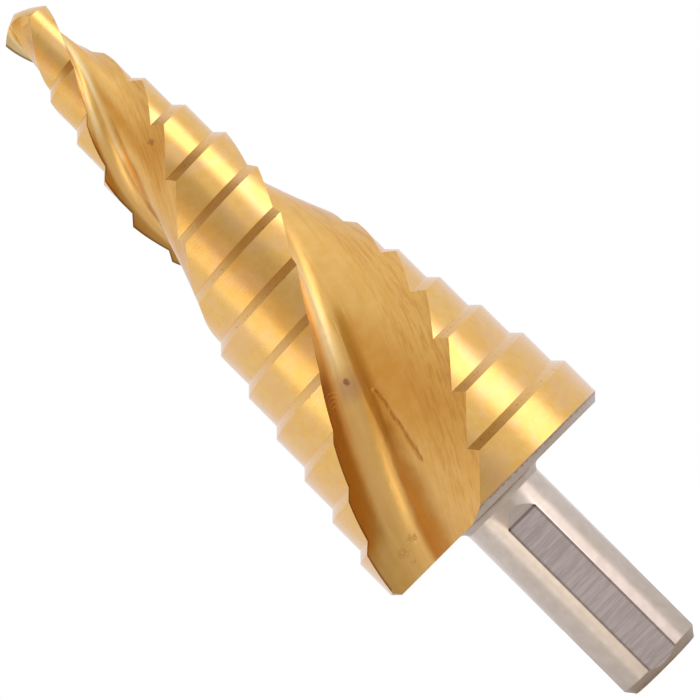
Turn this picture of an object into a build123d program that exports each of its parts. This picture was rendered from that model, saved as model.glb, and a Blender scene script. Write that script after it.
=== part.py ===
"""A step drill: thirteen diameters on one tapered body, two helical flutes and a round shank.

It stands on the end of its shank, with the centre of that end at the origin and the point up +Z.
A depth is measured down from the corner where the point meets the smallest diameter.
"""

import os
from math import cos, degrees, exp, log, radians, sin, tan

from build123d import *

# The drilling diameters, mm and degrees throughout
smallest_diameter = 6.0
diameter_step = 2.0
diameter_count = 13
nose_length = 6.3
step_length = 5.2
last_length = 4.6
rim_chamfer = 0.8

# The backing off behind each cutting edge: a step's chamfer falls back by step_relief at the heel
land_angle = 92.0
step_relief = 0.55

# The point: two crowned flanks, leaning back from their lips
point_height = 1.75
point_crown = 0.2
point_relief = 4.0

# The flutes: their form changes evenly from the nose to the rim
flute_count = 2
helix_angle = 34.1
nose_edge_angle = -6.2
nose_rake, rim_rake = 13.0, 21.0
nose_hollow, rim_hollow = 0.366, 0.302
nose_back_angle, rim_back_angle = 91.0, 97.5
back_turn = 60.0
crown_growth = 11.5
section_turn = 12.0
run_out = 3.0

# The shank, with its flats
shank_diameter = 10.0
shank_length = 24.4
shoulder_fillet = 0.8
end_chamfer_length = 1.0
end_chamfer_width = 0.8
flat_count = 3
flat_angle = -86.3
flat_depth = 0.4
flat_length = 21.3
flat_run_out = 1.35

# Sizes that follow
nose_radius = smallest_diameter / 2
step_rise = diameter_step / 2
step_count = diameter_count - 1
rim_radius = nose_radius + step_count * step_rise
head_length = nose_length + step_rise + (step_count - 1) * step_length + last_length + rim_chamfer
nose_height = shank_length + head_length
shank_radius = shank_diameter / 2
taper = step_rise / step_length
flute_pitch = 360 / flute_count


def edge_angle(depth):
    """Where the first cutting edge is at a depth: a constant helix angle on the tapered body."""
    wound = degrees(tan(radians(helix_angle)) / taper * log(1 + taper * depth / nose_radius))
    return nose_edge_angle - wound


def edge_depth(angle):
    """The depth at which the cutting edge stands at an angle."""
    wound = radians(nose_edge_angle - angle)
    return nose_radius / taper * (exp(taper * wound / tan(radians(helix_angle))) - 1)


def step_depth(number):
    """The depth at which a step reaches its full diameter, at the cutting edge."""
    return nose_length + step_rise + (number - 1) * step_length


def axial_plane(angle, height, shift=0.0, lean=0.0):
    """A plane with its X outwards at an angle and its Y up, shifted out or leant along its X."""
    outward = Vector(cos(radians(angle)), sin(radians(angle)), 0)
    across = Vector(sin(radians(angle)), -cos(radians(angle)), 0)
    upright = Plane(origin=outward * shift + Vector(0, 0, height), x_dir=outward, z_dir=across)
    return upright.rotated((0, 0, -lean))


def land_start(depth, flute):
    """Angle at which the half turn begins that holds a land: its heel and edge lie inside."""
    return edge_angle(depth) - land_angle / 2 - 90 + flute * flute_pitch


def make_disc(number):
    """A drilling diameter: a disc whose 45 degree front is backed off by an eccentric cone."""
    radius = nose_radius + number * step_rise
    front = nose_height - step_depth(number)
    length = last_length if number == step_count else step_length
    shift = step_relief / (2 * sin(radians(land_angle / 2)))
    lap = 1.5 * step_rise
    reach = 2 * step_rise
    with BuildPart() as disc:
        with BuildSketch(Plane.XY.offset(front - length)):
            Circle(radius)
        extrude(amount=length + lap)
        for flute in range(flute_count):
            start = land_start(step_depth(number), flute)
            plane = axial_plane(start, front - step_relief / 2, shift=-shift)
            with BuildSketch(plane):
                with BuildLine():
                    outer, inner = radius + reach, radius - reach
                    Polyline((outer, -reach), (outer, reach), (inner, reach), close=True)
                make_face()
            revolve(axis=Axis(plane.origin, plane.y_dir), revolution_arc=180, mode=Mode.SUBTRACT)
    return disc.part


def make_nose():
    """The smallest diameter and the point, each flank a crowned cone that leans to its heel."""
    lip_rise = nose_radius * sin(radians(point_relief)) * sin(radians(land_angle / 2))
    apex = nose_height + point_height - lip_rise
    bottom = nose_height - nose_length - step_rise
    with BuildPart() as nose:
        with BuildSketch(Plane.XY.offset(bottom)):
            Circle(nose_radius)
        extrude(amount=apex - bottom)
        for flute in range(flute_count):
            plane = axial_plane(land_start(0, flute), apex, lean=point_relief)
            with BuildSketch(plane):
                with BuildLine():
                    middle = (nose_radius / 2, point_crown - point_height / 2)
                    flank = ThreePointArc((0, 0), middle, (nose_radius, -point_height))
                    clear = flank @ 1 + (flank % 1) * nose_radius
                    Polyline(flank @ 1, clear, (clear.X, nose_radius), (0, nose_radius), flank @ 0)
                make_face()
            revolve(axis=Axis(plane.origin, plane.y_dir), revolution_arc=180, mode=Mode.SUBTRACT)
    return nose.part


def make_shank():
    """The shank up to the back of the largest diameter, turned round its axis."""
    with BuildPart() as shank:
        with BuildSketch(Plane.XZ):
            with BuildLine():
                seat = (shank_radius, shank_length - shoulder_fillet)
                back = (shank_radius + shoulder_fillet, shank_length)
                Polyline(
                    (0, 0),
                    (shank_radius - end_chamfer_width, 0),
                    (shank_radius, end_chamfer_length),
                    seat,
                )
                RadiusArc(seat, back, shoulder_fillet)
                Polyline(
                    back,
                    (rim_radius - rim_chamfer, shank_length),
                    (rim_radius, shank_length + rim_chamfer),
                    (0, shank_length + rim_chamfer),
                    (0, 0),
                )
            make_face()
        revolve(axis=Axis.Z)
        for flat in range(flat_count):
            plane = axial_plane(flat_angle + flat * 360 / flat_count, 0)
            bottom = shank_radius - flat_depth
            with BuildSketch(plane):
                with BuildLine():
                    Polyline(
                        (bottom, -flat_run_out),
                        (bottom, flat_length),
                        (bottom + 2 * flat_depth, flat_length + 2 * flat_run_out),
                        (bottom + 2 * flat_depth, -flat_run_out),
                        close=True,
                    )
                make_face()
            extrude(amount=shank_radius, both=True, mode=Mode.SUBTRACT)
    return shank.part


def flute_section(depth):
    """A flute across the axis at a depth, with the cutting edge on its X.

    From outside: down the rake to the edge, round the hollow, over the crowned back and out.
    """
    along = depth / head_length
    size = nose_radius + taper * (depth - nose_length / 2)
    rake = nose_rake + (rim_rake - nose_rake) * along
    hollow = nose_hollow + (rim_hollow - nose_hollow) * along
    back_angle = nose_back_angle + (rim_back_angle - nose_back_angle) * along
    clear = 2 * size + nose_radius
    section_plane = Plane(origin=(0, 0, nose_height - depth)).rotated((0, 0, edge_angle(depth)))
    with BuildSketch(section_plane, mode=Mode.PRIVATE) as section:
        with BuildLine():
            edge = Vector(size, 0)
            outward = Vector(cos(radians(rake)), sin(radians(rake)))
            rake_line = Line(edge + outward * clear, edge)
            hollow_turn = 180 + rake - back_angle
            valley = JernArc(edge, rake_line % 1, hollow * size, -hollow_turn)
            crown = JernArc(valley @ 1, valley % 1, size**2 / crown_growth, back_turn)
            back_line = Line(crown @ 1, crown @ 1 + (crown % 1) * clear)
            Polyline(back_line @ 1, (clear, clear), rake_line @ 0)
        make_face()
    return section.sketch


def make_flute():
    """The space of one flute, lofted through sections that turn with the cutting edge."""
    first = edge_angle(-run_out)
    turns = round((first - edge_angle(head_length + run_out)) / section_turn)
    with BuildPart() as flute:
        loft([flute_section(edge_depth(first - turn * section_turn)) for turn in range(turns + 1)])
    return flute.part


with BuildPart() as step_drill:
    add(make_shank())
    add(make_nose())
    for number in range(1, diameter_count):
        add(make_disc(number))
    flute = make_flute()
    with PolarLocations(0, flute_count):
        add(flute, mode=Mode.SUBTRACT)

step_drill.part.label = "step_drill"
os.makedirs("parts", exist_ok=True)
export_step(step_drill.part, "parts/step_drill.step")
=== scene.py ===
"""A step drill: gold-coloured hard coating on a ground head, bare steel shank with three flats.

It stands on the end of its shank, point up. Metres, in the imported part's frame.
"""

from math import cos, e, pi, radians, sin, tan

import bpy
from mathutils import Matrix, Vector


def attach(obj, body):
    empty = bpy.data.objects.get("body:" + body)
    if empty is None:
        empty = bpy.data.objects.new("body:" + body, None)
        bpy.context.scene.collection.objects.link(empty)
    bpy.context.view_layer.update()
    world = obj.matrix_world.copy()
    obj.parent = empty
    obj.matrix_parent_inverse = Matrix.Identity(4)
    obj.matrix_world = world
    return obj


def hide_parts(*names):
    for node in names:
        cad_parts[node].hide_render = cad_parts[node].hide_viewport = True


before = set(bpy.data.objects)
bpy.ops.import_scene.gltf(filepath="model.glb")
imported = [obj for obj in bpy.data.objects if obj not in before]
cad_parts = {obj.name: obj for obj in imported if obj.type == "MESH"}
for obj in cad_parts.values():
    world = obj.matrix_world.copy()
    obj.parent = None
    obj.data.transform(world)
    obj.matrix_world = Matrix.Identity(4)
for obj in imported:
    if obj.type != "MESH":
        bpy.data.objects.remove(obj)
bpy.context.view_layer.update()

MM = 0.001

# The drill's own sizes, in mm
SHANK_LENGTH = 24.4
NOSE_HEIGHT = 94.3
NOSE_RADIUS = 3.0
NOSE_LENGTH = 6.3
STEP_LENGTH = 5.2
STEP_RISE = 1.0
TAPER = STEP_RISE / STEP_LENGTH
HELIX_ANGLE = 34.1
NOSE_EDGE_ANGLE = -6.2
SHANK_RADIUS = 5.0
FLAT_LENGTH = 21.3
RIM_EDGE_HEIGHT = 25.2

# Telling its faces apart: above the flats, round the end face, and the slope of a step's front
ABOVE_FLATS = 23.2
END_FACE_RADIUS = 4.55
FRONT_SLOPE = 0.7071
SMOOTH_BELOW = radians(24)
SHARP_ABOVE = radians(14)

# Finishes, in the order of the drill's material slots
LAND, FLUTE, ROUND, FLAT = range(4)

# Coating and steel
GOLD = (0.80, 0.455, 0.105, 1)
PALE_GOLD = (0.83, 0.50, 0.14, 1)
DEEP_GOLD = (0.66, 0.32, 0.06, 1)
ROSE_GOLD = (0.80, 0.48, 0.21, 1)
# A dark gold for painted shade in the valley and on the wall, broken up by the real grinding
# streaks
SHADE_AND_STREAK_GOLD = (0.55, 0.26, 0.03, 1)
# A lighter gold: painted light in the flute's hollow, and the tone of the real chatter marks
LIT_HOLLOW_AND_CHATTER_GOLD = (0.98, 0.59, 0.18, 1)
# A pale gold for painted highlights on the flute
PAINTED_HIGHLIGHT_GOLD = (0.99, 0.79, 0.39, 1)
EDGE_SHEEN = (0.95, 0.90, 0.86, 1)
# A dark brown for painted shade on the wall by the cutting edge
EDGE_SHADE_BROWN = (0.24, 0.10, 0.02, 1)
STEEL = (0.67, 0.565, 0.455, 1)
PALE_STEEL = (0.745, 0.635, 0.52, 1)
DULL_STEEL = (0.53, 0.45, 0.41, 1)
BRIGHT_FLAT = (0.67, 0.575, 0.53, 1)
DARK_STEEL = (0.15, 0.10, 0.07, 1)
STAIN = (0.28, 0.09, 0.05, 1)
MAUVE = (0.40, 0.20, 0.13, 1)

# The room: white for the camera, pale for the drill, darker in three directions
WHITE = (1, 1, 1, 1)
PALE_ROOM = (0.93, 0.95, 1.05, 1)
WARM_LEFT = (0.65, 0.47, 0.27, 1)
DIM_FRONT = (0.36, 0.31, 0.25, 1)
DIM_ABOVE = (0.36, 0.28, 0.20, 1)
FLOOR_PAINT = (0.74, 0.74, 0.74, 1)
FLOOR_GLOW = (0.6, 0.6, 0.6, 1)

# Marks of use and of making, at their places on the drill in mm
STAIN_PLACE = (-2.6, -7.59, 43.8)
HALO_PLACE = (-2.9, -7.5, 43.3)
SMALL_STAIN_PLACE = (0.68, -5.01, 75.74)
SCRATCH_ENDS = (-1.17, -8.1, 41.15), (-2.69, -9.98, 32.96)
SECOND_SCRATCH_ENDS = (-1.9, -8.4, 40.2), (-3.0, -9.8, 33.2)
CHATTER_PLACE = (-5.05, -8.76, 43.4)
CHATTER_CENTRE = (-5.3, -8.8, 42.4)
PITTED_SPOTS = (
    ((-10.97, -3.68, 27.3), 0.85),
    ((-10.77, -3.26, 25.96), 0.5),
    ((-9.2, -4.44, 27.83), 0.7),
)


# ---------------------------------------------------------------- shader sums


class Value:
    """A number, colour or vector in a node tree. A sum or product with it adds a Math node."""

    def __init__(self, nodes, socket):
        self.nodes = nodes
        self.socket = socket

    def math(self, operation, *terms):
        return self.nodes.node("ShaderNodeMath", dict(enumerate(terms)), operation=operation)

    def __add__(self, other):
        return self.math("ADD", self, other)

    def __radd__(self, other):
        return self.math("ADD", other, self)

    def __sub__(self, other):
        return self.math("SUBTRACT", self, other)

    def __rsub__(self, other):
        return self.math("SUBTRACT", other, self)

    def __mul__(self, other):
        return self.math("MULTIPLY", self, other)

    def __rmul__(self, other):
        return self.math("MULTIPLY", other, self)

    def __truediv__(self, other):
        return self.math("DIVIDE", self, other)

    def __rtruediv__(self, other):
        return self.math("DIVIDE", other, self)

    def __mod__(self, other):
        return self.math("FLOORED_MODULO", self, other)

    def __abs__(self):
        return self.math("ABSOLUTE", self)


class Nodes:
    """A node tree, with one method that adds any node and a few for what is used often."""

    def __init__(self, tree):
        self.tree = tree

    def node(self, kind, inputs=None, output=0, **settings):
        """Adds a node: its settings first, then the values or links of its sockets."""
        made = self.tree.nodes.new(kind)
        for name, setting in settings.items():
            setattr(made, name, setting)
        for key, term in (inputs or {}).items():
            self.feed(made.inputs[key], term)
        return Value(self, made.outputs[output])

    def feed(self, socket, term):
        if isinstance(term, Value):
            self.tree.links.new(term.socket, socket)
        else:
            socket.default_value = term

    def vector(self, operation, *terms, **named):
        inputs = {**dict(enumerate(terms)), **named}
        output = "Value" if operation in ("DISTANCE", "DOT_PRODUCT", "LENGTH") else "Vector"
        return self.node("ShaderNodeVectorMath", inputs, output=output, operation=operation)

    def parts(self, vector):
        made = self.node("ShaderNodeSeparateXYZ", {0: vector})
        return [Value(self, output) for output in made.socket.node.outputs]

    def point(self, x, y, z):
        return self.node("ShaderNodeCombineXYZ", {0: x, 1: y, 2: z})

    def band(self, value, low, high):
        """0 below low, 1 above high, smooth between them."""
        inputs = {"Value": value, "From Min": low, "From Max": high}
        return self.node("ShaderNodeMapRange", inputs, interpolation_type="SMOOTHSTEP")

    def blend(self, amount, first, second):
        """A colour that goes from first to second as the amount goes from 0 to 1."""
        return self.node("ShaderNodeMix", {0: amount, 6: first, 7: second}, 2, data_type="RGBA")


class Finish(Nodes):
    """A metal finish, with its place on the drill in mm."""

    def __init__(self, name):
        self.material = bpy.data.materials.new(name)
        self.material.use_nodes = True
        super().__init__(self.material.node_tree)
        self.shader = self.tree.nodes["Principled BSDF"]
        self.link("Metallic", 1.0)
        self.link("Coat Roughness", 0.3)
        self.link("Coat IOR", 1.28)
        place = self.node("ShaderNodeTexCoord", output="Object")
        self.place = self.vector("SCALE", place, Scale=1 / MM)
        self.x, self.y, self.z = self.parts(self.place)

    def noise(self, vector, scale=1.0, detail=2.0, roughness=0.5, output=0):
        inputs = {"Vector": vector, "Scale": scale, "Detail": detail, "Roughness": roughness}
        return self.node("ShaderNodeTexNoise", inputs, output)

    def spot(self, centre, radius, soft=0.5):
        """1 at a point of the drill, in mm, falling to 0 at a radius."""
        away = self.vector("DISTANCE", self.place, centre)
        return 1 - self.band(away, radius * (1 - soft), radius)

    def scratch(self, start, end, width, waver=0.6):
        """1 along a wavering line between two points, in mm, falling to 0 at half a width."""
        line = Vector(end) - Vector(start)
        shift = self.noise(self.place, 0.8, 2.0, 0.5, "Color")
        wavy = self.vector("MULTIPLY_ADD", shift, (waver,) * 3, self.place)
        middle_start = Vector(start) + Vector((waver / 2,) * 3)
        from_start = self.vector("SUBTRACT", wavy, tuple(middle_start))
        along = self.vector("DOT_PRODUCT", from_start, tuple(line / line.length_squared))
        along = self.node("ShaderNodeClamp", {0: along})
        nearest = self.vector("SCALE", tuple(line), Scale=along)
        away = self.vector("DISTANCE", from_start, nearest)
        return 1 - self.band(away, 0.0, width * 0.5)

    def flute_place(self):
        """A place as the flute sees it: turned back with the helix and scaled to the nose."""
        depth = NOSE_HEIGHT - self.z
        growth = 1 + depth * (TAPER / NOSE_RADIUS)
        wound = growth.math("LOGARITHM", growth, e)
        turn = wound * (tan(radians(HELIX_ANGLE)) / TAPER) - radians(NOSE_EDGE_ANGLE)
        inputs = {"Vector": self.place, "Angle": turn}
        turned = self.node("ShaderNodeVectorRotate", inputs, rotation_type="Z_AXIS")
        x, y, z = self.parts(turned)
        return x / growth, y / growth, z

    def below_edge(self):
        """How far inside the cutting diameter a place lies, in mm."""
        depth = (NOSE_HEIGHT - NOSE_LENGTH - self.z) / STEP_LENGTH
        depth = depth.math("MAXIMUM", depth, 0.0)
        step = depth.math("FLOOR", depth)
        front = (depth - step) * STEP_LENGTH
        radius = step * STEP_RISE + front.math("MINIMUM", front, STEP_RISE) + NOSE_RADIUS
        return radius - self.vector("LENGTH", self.point(self.x, self.y, 0.0))

    def link(self, name, term):
        """Sets a socket of the shader to one value all over, or to a value that varies."""
        self.feed(self.shader.inputs[name], term)

    def relief(self, height, strength, distance):
        """Bumps the surface by a height field. The distance is in mm."""
        inputs = {"Height": height, "Strength": strength, "Distance": distance * MM}
        self.link("Normal", self.node("ShaderNodeBump", inputs))


# ---------------------------------------------------------------- the coating


def coated_land():
    """Lands and step fronts: ground round the axis and coated, with small chips at corners."""
    gold = Finish("gold_ground_land")
    squashed = gold.point(gold.x * 0.16, gold.y * 0.16, gold.z * 9.0)
    grinding = gold.noise(squashed, 1.0, 3.0, 0.6)
    mottle = gold.noise(gold.place, 0.8, 5.0, 0.65)
    grain = gold.noise(gold.place, 5.0, 2.0, 0.6)
    speck = gold.band(grain, 0.66, 0.74)
    first_corner = NOSE_HEIGHT - NOSE_LENGTH - STEP_RISE
    from_corner = abs((first_corner - gold.z + 0.5) % STEP_LENGTH - 0.5)
    chipped = gold.noise(gold.place, 3.4, 3.0, 0.7)
    chip = gold.band(chipped - 0.55 * from_corner, 0.56, 0.62)
    chip = chip * (1 - gold.band(from_corner, 0.1, 0.3))
    patches = gold.noise(gold.place, 0.35, 2.0, 0.5)
    tone = gold.blend(gold.band(mottle, 0.36, 0.66), GOLD, PALE_GOLD)
    tone = gold.blend(gold.band(patches, 0.45, 0.62) * 0.5, tone, ROSE_GOLD)
    tone = gold.blend(speck * 0.30, tone, DEEP_GOLD)
    gold.link("Base Color", gold.blend(chip * 0.75, tone, STAIN))
    gold.link("Roughness", 0.19 + 0.08 * mottle + 0.06 * grinding)
    gold.link("Coat Weight", 1.0)
    gold.link("Specular Tint", EDGE_SHEEN)
    gold.relief(grinding + 0.25 * grain - 1.2 * chip, 0.5, 0.006)
    return gold.material


def coated_flute():
    """Flutes: ground along the helix, streaky in the valley, with clearer lines near the heel, and
    with painted highlights, painted shade and a painted lighter band on the hollow, the valley and
    the wall.
    """
    gold = Finish("gold_ground_flute")
    x, y, z = gold.flute_place()
    side, back = abs(x), abs(y)
    lines = gold.noise(gold.point(x * 10.0, y * 10.0, z * 0.30), 1.0, 3.0, 0.7)
    coarse = gold.noise(gold.point(x * 3.2, y * 3.2, z * 0.12), 1.0, 2.0, 0.5)
    streaks = gold.noise(gold.point(x * 7.0, y * 7.0, z * 0.10), 1.0, 3.0, 0.6)
    mottle = gold.noise(gold.place, 0.6, 5.0, 0.62)
    grain = gold.noise(gold.place, 4.0, 2.0, 0.6)

    # Parts of the flute's section
    near_heel = gold.band(back, 1.3, 2.2)
    valley = gold.band(back, 0.40, 0.60) * (1 - gold.band(back, 0.68, 1.08))
    valley = valley * gold.band(side, 1.1, 1.5)
    hollow = gold.band(side, 1.72, 1.95) * (1 - gold.band(side, 2.15, 2.40))
    wall = gold.band(side, 2.20, 2.42) * (1 - gold.band(back, 0.12, 0.30))
    # Painted shade on the wall just inside the cutting edge
    edge = wall * (1 - gold.band(gold.below_edge(), 0.12, 0.34))

    # Heights at which they get a painted highlight or painted shade
    highlight_heights = gold.band(z, 79.0, 82.0) + gold.band(z, 43.5, 48.5) * (1 - gold.band(z, 55.0, 60.0))
    # Painted highlight: pale gold on the hollow, the wall and the valley at these heights
    pale = hollow * highlight_heights * 0.85 + wall * highlight_heights + valley * gold.band(z, 69.5, 74.5) * 0.95
    # Painted shade in the valley at these heights, patterned by the real grinding streaks, and on
    # the wall low down
    shaded_heights = (1 - gold.band(z, 48.5, 51.5)) * (0.15 + 0.85 * gold.band(z, 32.0, 41.0))
    shade_and_streaks = valley * shaded_heights * gold.band(streaks, 0.36, 0.52)
    shade_and_streaks = shade_and_streaks + wall * (1 - highlight_heights) * gold.band(z, 28.5, 31.0) * 0.7

    # Single marks
    blotch = 1.3 * (gold.noise(gold.place, 2.2, 3.0, 0.65) - 0.5)
    stain = gold.band(gold.spot(STAIN_PLACE, 0.9, 1.0) + blotch, 0.42, 0.85)
    halo = gold.spot(HALO_PLACE, 2.6, 1.0)
    small_stain = gold.band(gold.spot(SMALL_STAIN_PLACE, 1.0, 1.0) + blotch, 0.5, 1.0)
    scratch = gold.scratch(*SCRATCH_ENDS, 0.95) * (0.3 + 1.3 * grain)
    second = gold.scratch(*SECOND_SCRATCH_ENDS, 0.40)
    pitted = sum(gold.spot(place, radius) for place, radius in PITTED_SPOTS)
    pits = pitted * gold.band(grain, 0.46, 0.56)
    rings = abs(gold.vector("DISTANCE", gold.place, CHATTER_CENTRE) * 2.2 % 1 - 0.5)
    chatter = gold.spot(CHATTER_PLACE, 1.5, 0.4) * gold.band(rings, 0.22, 0.42)

    tone = gold.blend(gold.band(mottle, 0.36, 0.66), GOLD, PALE_GOLD)
    # Painted light: the hollow lighter, more so from 36 mm up
    tone = gold.blend(hollow * (0.55 + 0.35 * gold.band(z, 36, 46)), tone, LIT_HOLLOW_AND_CHATTER_GOLD)
    # Painted highlight
    tone = gold.blend(pale, tone, PAINTED_HIGHLIGHT_GOLD)
    tone = gold.blend(gold.band(coarse, 0.48, 0.72) * 0.3, tone, DEEP_GOLD)
    heel_tint = near_heel * (0.2 + 0.6 * gold.band(lines, 0.47, 0.62))
    tone = gold.blend(heel_tint, tone, DEEP_GOLD)
    # Painted shade with grinding streaks
    tone = gold.blend(shade_and_streaks, tone, SHADE_AND_STREAK_GOLD)
    # Painted shade by the cutting edge
    tone = gold.blend(edge * 0.7, tone, EDGE_SHADE_BROWN)
    tone = gold.blend(halo * 0.45, tone, MAUVE)
    tone = gold.blend(chatter * 0.35, tone, LIT_HOLLOW_AND_CHATTER_GOLD)
    tone = gold.blend(scratch + second * 0.6 + pits * 0.4, tone, DEEP_GOLD)
    gold.link("Base Color", gold.blend(stain * 0.75 + small_stain * 0.5, tone, STAIN))
    gold.link("Roughness", 0.27 + 0.08 * mottle + 0.08 * lines)
    gold.link("Coat Weight", 1.0)
    gold.link("Specular Tint", EDGE_SHEEN)
    ground = lines * (0.5 + 1.7 * near_heel) + 0.9 * coarse + 1.6 * streaks * valley
    marks = 1.2 * chatter - 4.0 * scratch - 1.6 * second - 1.8 * pits
    gold.relief(ground + marks, 0.8, 0.022)
    return gold.material


# ---------------------------------------------------------------- the steel


def turned_steel():
    """Shank, back face and the chamfer round it: bare, with the coating's ragged end at the rim."""
    steel = Finish("steel_ground_round")
    squashed = steel.point(steel.x * 0.2, steel.y * 0.2, steel.z * 8.0)
    grinding = steel.noise(squashed, 1.0, 3.0, 0.6)
    mottle = steel.noise(steel.place, 0.7, 4.0, 0.6)
    ragged = steel.noise(steel.place, 2.4, 3.0, 0.7)
    from_edge = abs(steel.z - RIM_EDGE_HEIGHT) + 0.9 * (ragged - 0.5)
    coat_end = 1 - steel.band(from_edge, 0.05, 0.3)
    tone = steel.blend(steel.band(mottle, 0.3, 0.7), STEEL, PALE_STEEL)
    steel.link("Base Color", steel.blend(coat_end * 0.6, tone, MAUVE))
    steel.link("Roughness", 0.22 + 0.08 * mottle)
    steel.relief(grinding, 0.4, 0.006)
    return steel.material


def flat_steel():
    """The three flats: ground across the shank, duller than the round, dark along their edges, with
    painted shade in the crease at their ends.
    """
    steel = Finish("steel_ground_flat")
    squashed = steel.point(steel.x * 0.3, steel.y * 0.3, steel.z * 3.2)
    lines = steel.noise(squashed, 1.0, 3.0, 0.75)
    bars = steel.noise(steel.point(0.0, 0.0, steel.z), 0.9, 3.0, 0.6)
    spread = steel.vector("LENGTH", steel.point(steel.x, steel.y, 0.0))
    border = steel.band(spread, SHANK_RADIUS - 0.13, SHANK_RADIUS - 0.06)
    # Painted shade: a dark line in the crease where each flat meets its run-out
    corner = 1 - steel.band(abs(steel.z - FLAT_LENGTH), 0.08, 0.22)
    amount = steel.band(0.9 * lines + 0.5 * bars, 0.55, 0.85)
    run_out = steel.band(steel.z, FLAT_LENGTH, FLAT_LENGTH + 0.3)
    tone = steel.blend(amount, DULL_STEEL, BRIGHT_FLAT)
    tone = steel.blend(run_out * 0.6, tone, PALE_STEEL)
    tone = steel.blend(border * (1 - run_out) * 0.5 + corner * 0.6, tone, DARK_STEEL)
    steel.link("Base Color", tone)
    steel.link("Roughness", 0.34 + 0.1 * lines)
    steel.relief(lines + 0.6 * bars, 0.6, 0.009)
    return steel.material


# ---------------------------------------------------------------- the drill


def finish_of(face, corners):
    """Which finish a face of the drill has, from its normal and its corners in mm."""
    middle = face.center / MM
    normal = face.normal
    spread = middle.xy.length
    outward = normal.xy.dot(middle.xy) / spread if spread > 0.01 else 0.0
    if middle.z < SHANK_LENGTH + 0.01:
        at_end = min(corner.xy.length for corner in corners) < END_FACE_RADIUS
        if middle.z > ABOVE_FLATS or at_end:
            return ROUND
        lean = min(normal.xy.dot(corner.xy) / corner.xy.length for corner in corners)
        flat = lean < 0.98 and abs(normal.z) < 0.05
        run_out = 0.2 < abs(normal.z) < 0.4
        return FLAT if flat or run_out else ROUND
    if normal.z < -0.6 and outward > 0.6:
        return ROUND
    if middle.z > NOSE_HEIGHT - 0.3 and normal.z > 0.3:
        return LAND
    step = round(max(corner.xy.length for corner in corners))
    on_land = all(abs(corner.xy.length - step) < 0.015 for corner in corners)
    if on_land and outward > 0.97 and abs(normal.z) < 0.05:
        return LAND
    sloping = abs(normal.z - FRONT_SLOPE) < 0.06 and abs(outward - FRONT_SLOPE) < 0.12
    return LAND if sloping else FLUTE


def make_drill():
    """The drill in one piece, with its coating, its bare shank and their ground surfaces."""
    bpy.ops.object.select_all(action="DESELECT")
    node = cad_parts["step_drill"]
    node.select_set(True)
    bpy.context.view_layer.objects.active = node
    bpy.ops.object.duplicate()
    drill = bpy.context.active_object
    drill.name = "ground_drill"
    bpy.ops.object.mode_set(mode="EDIT")
    bpy.ops.mesh.select_all(action="SELECT")
    bpy.ops.mesh.remove_doubles(threshold=1e-6)
    bpy.ops.mesh.customdata_custom_splitnormals_clear()
    bpy.ops.object.mode_set(mode="OBJECT")
    bpy.ops.object.shade_smooth_by_angle(angle=SMOOTH_BELOW)
    drill.data.materials.clear()
    for material in (coated_land(), coated_flute(), turned_steel(), flat_steel()):
        drill.data.materials.append(material)
    mesh = drill.data
    points = [vertex.co / MM for vertex in mesh.vertices]
    finishes = [finish_of(face, [points[v] for v in face.vertices]) for face in mesh.polygons]
    mesh.polygons.foreach_set("material_index", finishes)

    # The flats meet the round too gently for the smoothing angle, so their edges are marked
    bpy.ops.object.mode_set(mode="EDIT")
    bpy.ops.mesh.select_mode(type="EDGE")
    bpy.ops.mesh.select_all(action="DESELECT")
    bpy.ops.mesh.edges_select_sharp(sharpness=SHARP_ABOVE)
    bpy.ops.object.mode_set(mode="OBJECT")
    for edge in mesh.edges:
        if max(points[v].z for v in edge.vertices) > ABOVE_FLATS:
            edge.select = False
    bpy.ops.object.mode_set(mode="EDIT")
    bpy.ops.mesh.mark_sharp()
    bpy.ops.object.mode_set(mode="OBJECT")

    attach(drill, "root")
    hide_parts("step_drill")


# ---------------------------------------------------------------- the studio


def make_floor():
    """A plain pale floor. Its glow, seen by the camera only, brings it up to white."""
    bpy.ops.object.select_all(action="DESELECT")
    bpy.ops.mesh.primitive_circle_add(vertices=96, radius=0.35, fill_type="NGON")
    floor = bpy.context.active_object
    floor.name = "floor"
    material = bpy.data.materials.new("pale_floor")
    material.use_nodes = True
    nodes = Nodes(material.node_tree)
    paint = nodes.tree.nodes["Principled BSDF"]
    paint.inputs["Base Color"].default_value = FLOOR_PAINT
    paint.inputs["Roughness"].default_value = 0.9
    paint.inputs["Specular IOR Level"].default_value = 0.0
    camera_ray = nodes.node("ShaderNodeLightPath", output="Is Camera Ray")
    glow = nodes.node("ShaderNodeEmission", {"Color": FLOOR_GLOW})
    dark = nodes.node("ShaderNodeEmission", {"Strength": 0.0})
    shown = nodes.node("ShaderNodeMixShader", {0: camera_ray, 1: dark, 2: glow})
    both = nodes.node("ShaderNodeAddShader", {0: shown, 1: Value(nodes, paint.outputs[0])})
    nodes.feed(nodes.tree.nodes["Material Output"].inputs["Surface"], both)
    floor.data.materials.append(material)


def toward(azimuth, elevation):
    """The direction at an azimuth, 0 in front and 90 at +X, and an elevation."""
    turn, rise = radians(azimuth), radians(elevation)
    return Vector((sin(turn) * cos(rise), -cos(turn) * cos(rise), sin(rise)))


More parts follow.
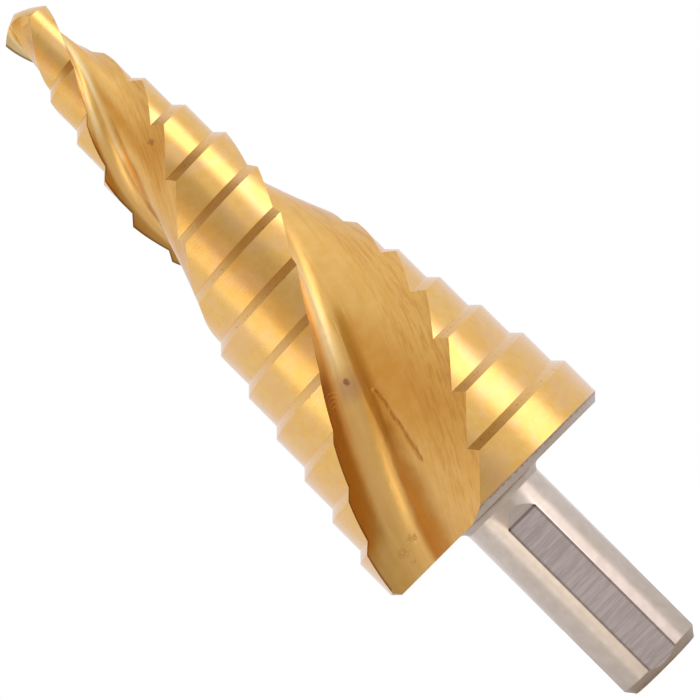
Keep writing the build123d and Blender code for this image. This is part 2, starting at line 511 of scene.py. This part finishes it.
def make_world():
    """White where the camera sees it, else a pale room, darker above, in front and at the left."""
    world = bpy.data.worlds.new("studio")
    bpy.context.scene.world = world
    world.use_nodes = True
    room = Nodes(world.node_tree)
    direction = room.node("ShaderNodeTexCoord", output="Generated")

    def lobe(axis, outer, inner):
        """1 within an inner angle of an axis, falling to 0 at an outer one, in degrees."""
        near = room.vector("DOT_PRODUCT", direction, tuple(axis))
        return room.band(near, cos(radians(outer)), cos(radians(inner)))

    left = lobe(toward(-38, 28), 42, 10)
    front = lobe(toward(0, -4), 28, 12)
    above = lobe(toward(90, 86), 36, 9)
    tone = room.blend(left * 0.9, PALE_ROOM, WARM_LEFT)
    tone = room.blend(front * 0.62, tone, DIM_FRONT)
    tone = room.blend(above * 0.95, tone, DIM_ABOVE)
    camera_ray = room.node("ShaderNodeLightPath", output="Is Camera Ray")
    tone = room.blend(camera_ray, tone, WHITE)
    room.feed(room.tree.nodes["Background"].inputs["Color"], tone)


def softbox(name, azimuth, height, distance, width, tall, radiance, colour):
    """An area lamp, level with a height on the axis and facing it from an azimuth."""
    lamp = bpy.data.lights.new(name, "AREA")
    lamp.shape = "RECTANGLE"
    lamp.size = width
    lamp.size_y = tall
    lamp.energy = radiance * pi * width * tall
    lamp.color = colour
    box = bpy.data.objects.new(name, lamp)
    bpy.context.collection.objects.link(box)
    box.location = toward(azimuth, 0) * distance + Vector((0, 0, height))
    aim = Vector((0, 0, height)) - box.location
    box.rotation_euler = aim.to_track_quat("-Z", "Y").to_euler()


def make_camera():
    """In front, looking slightly up at the middle, rolled to put the point at the upper left."""
    camera = bpy.data.cameras.new("camera")
    camera.lens = 253.0
    camera.sensor_width = 36.0
    holder = bpy.data.objects.new("camera", camera)
    bpy.context.collection.objects.link(holder)
    eye = Vector((0.0, -0.5114, 0.0245))
    look = Vector((0.0, 0.0, 0.04623))
    back = (eye - look).normalized()
    upward = Vector((1, 0, 1)).normalized()
    right = upward.cross(back).normalized()
    upward = back.cross(right)
    turned = Matrix((right, upward, back)).transposed().to_4x4()
    holder.matrix_world = Matrix.Translation(eye) @ turned
    bpy.context.scene.camera = holder


make_drill()
make_floor()
make_world()
softbox(
    "key",
    azimuth=67,
    height=0.02,
    distance=0.9,
    width=0.49,
    tall=0.60,
    radiance=1.66,
    colour=(1.0, 0.925, 1.03),
)
softbox(
    "fill",
    azimuth=-56,
    height=-0.04,
    distance=0.9,
    width=0.50,
    tall=0.30,
    radiance=1.30,
    colour=(1.0, 1.0, 1.0),
)
make_camera()
bpy.context.scene.view_settings.view_transform = "Standard"
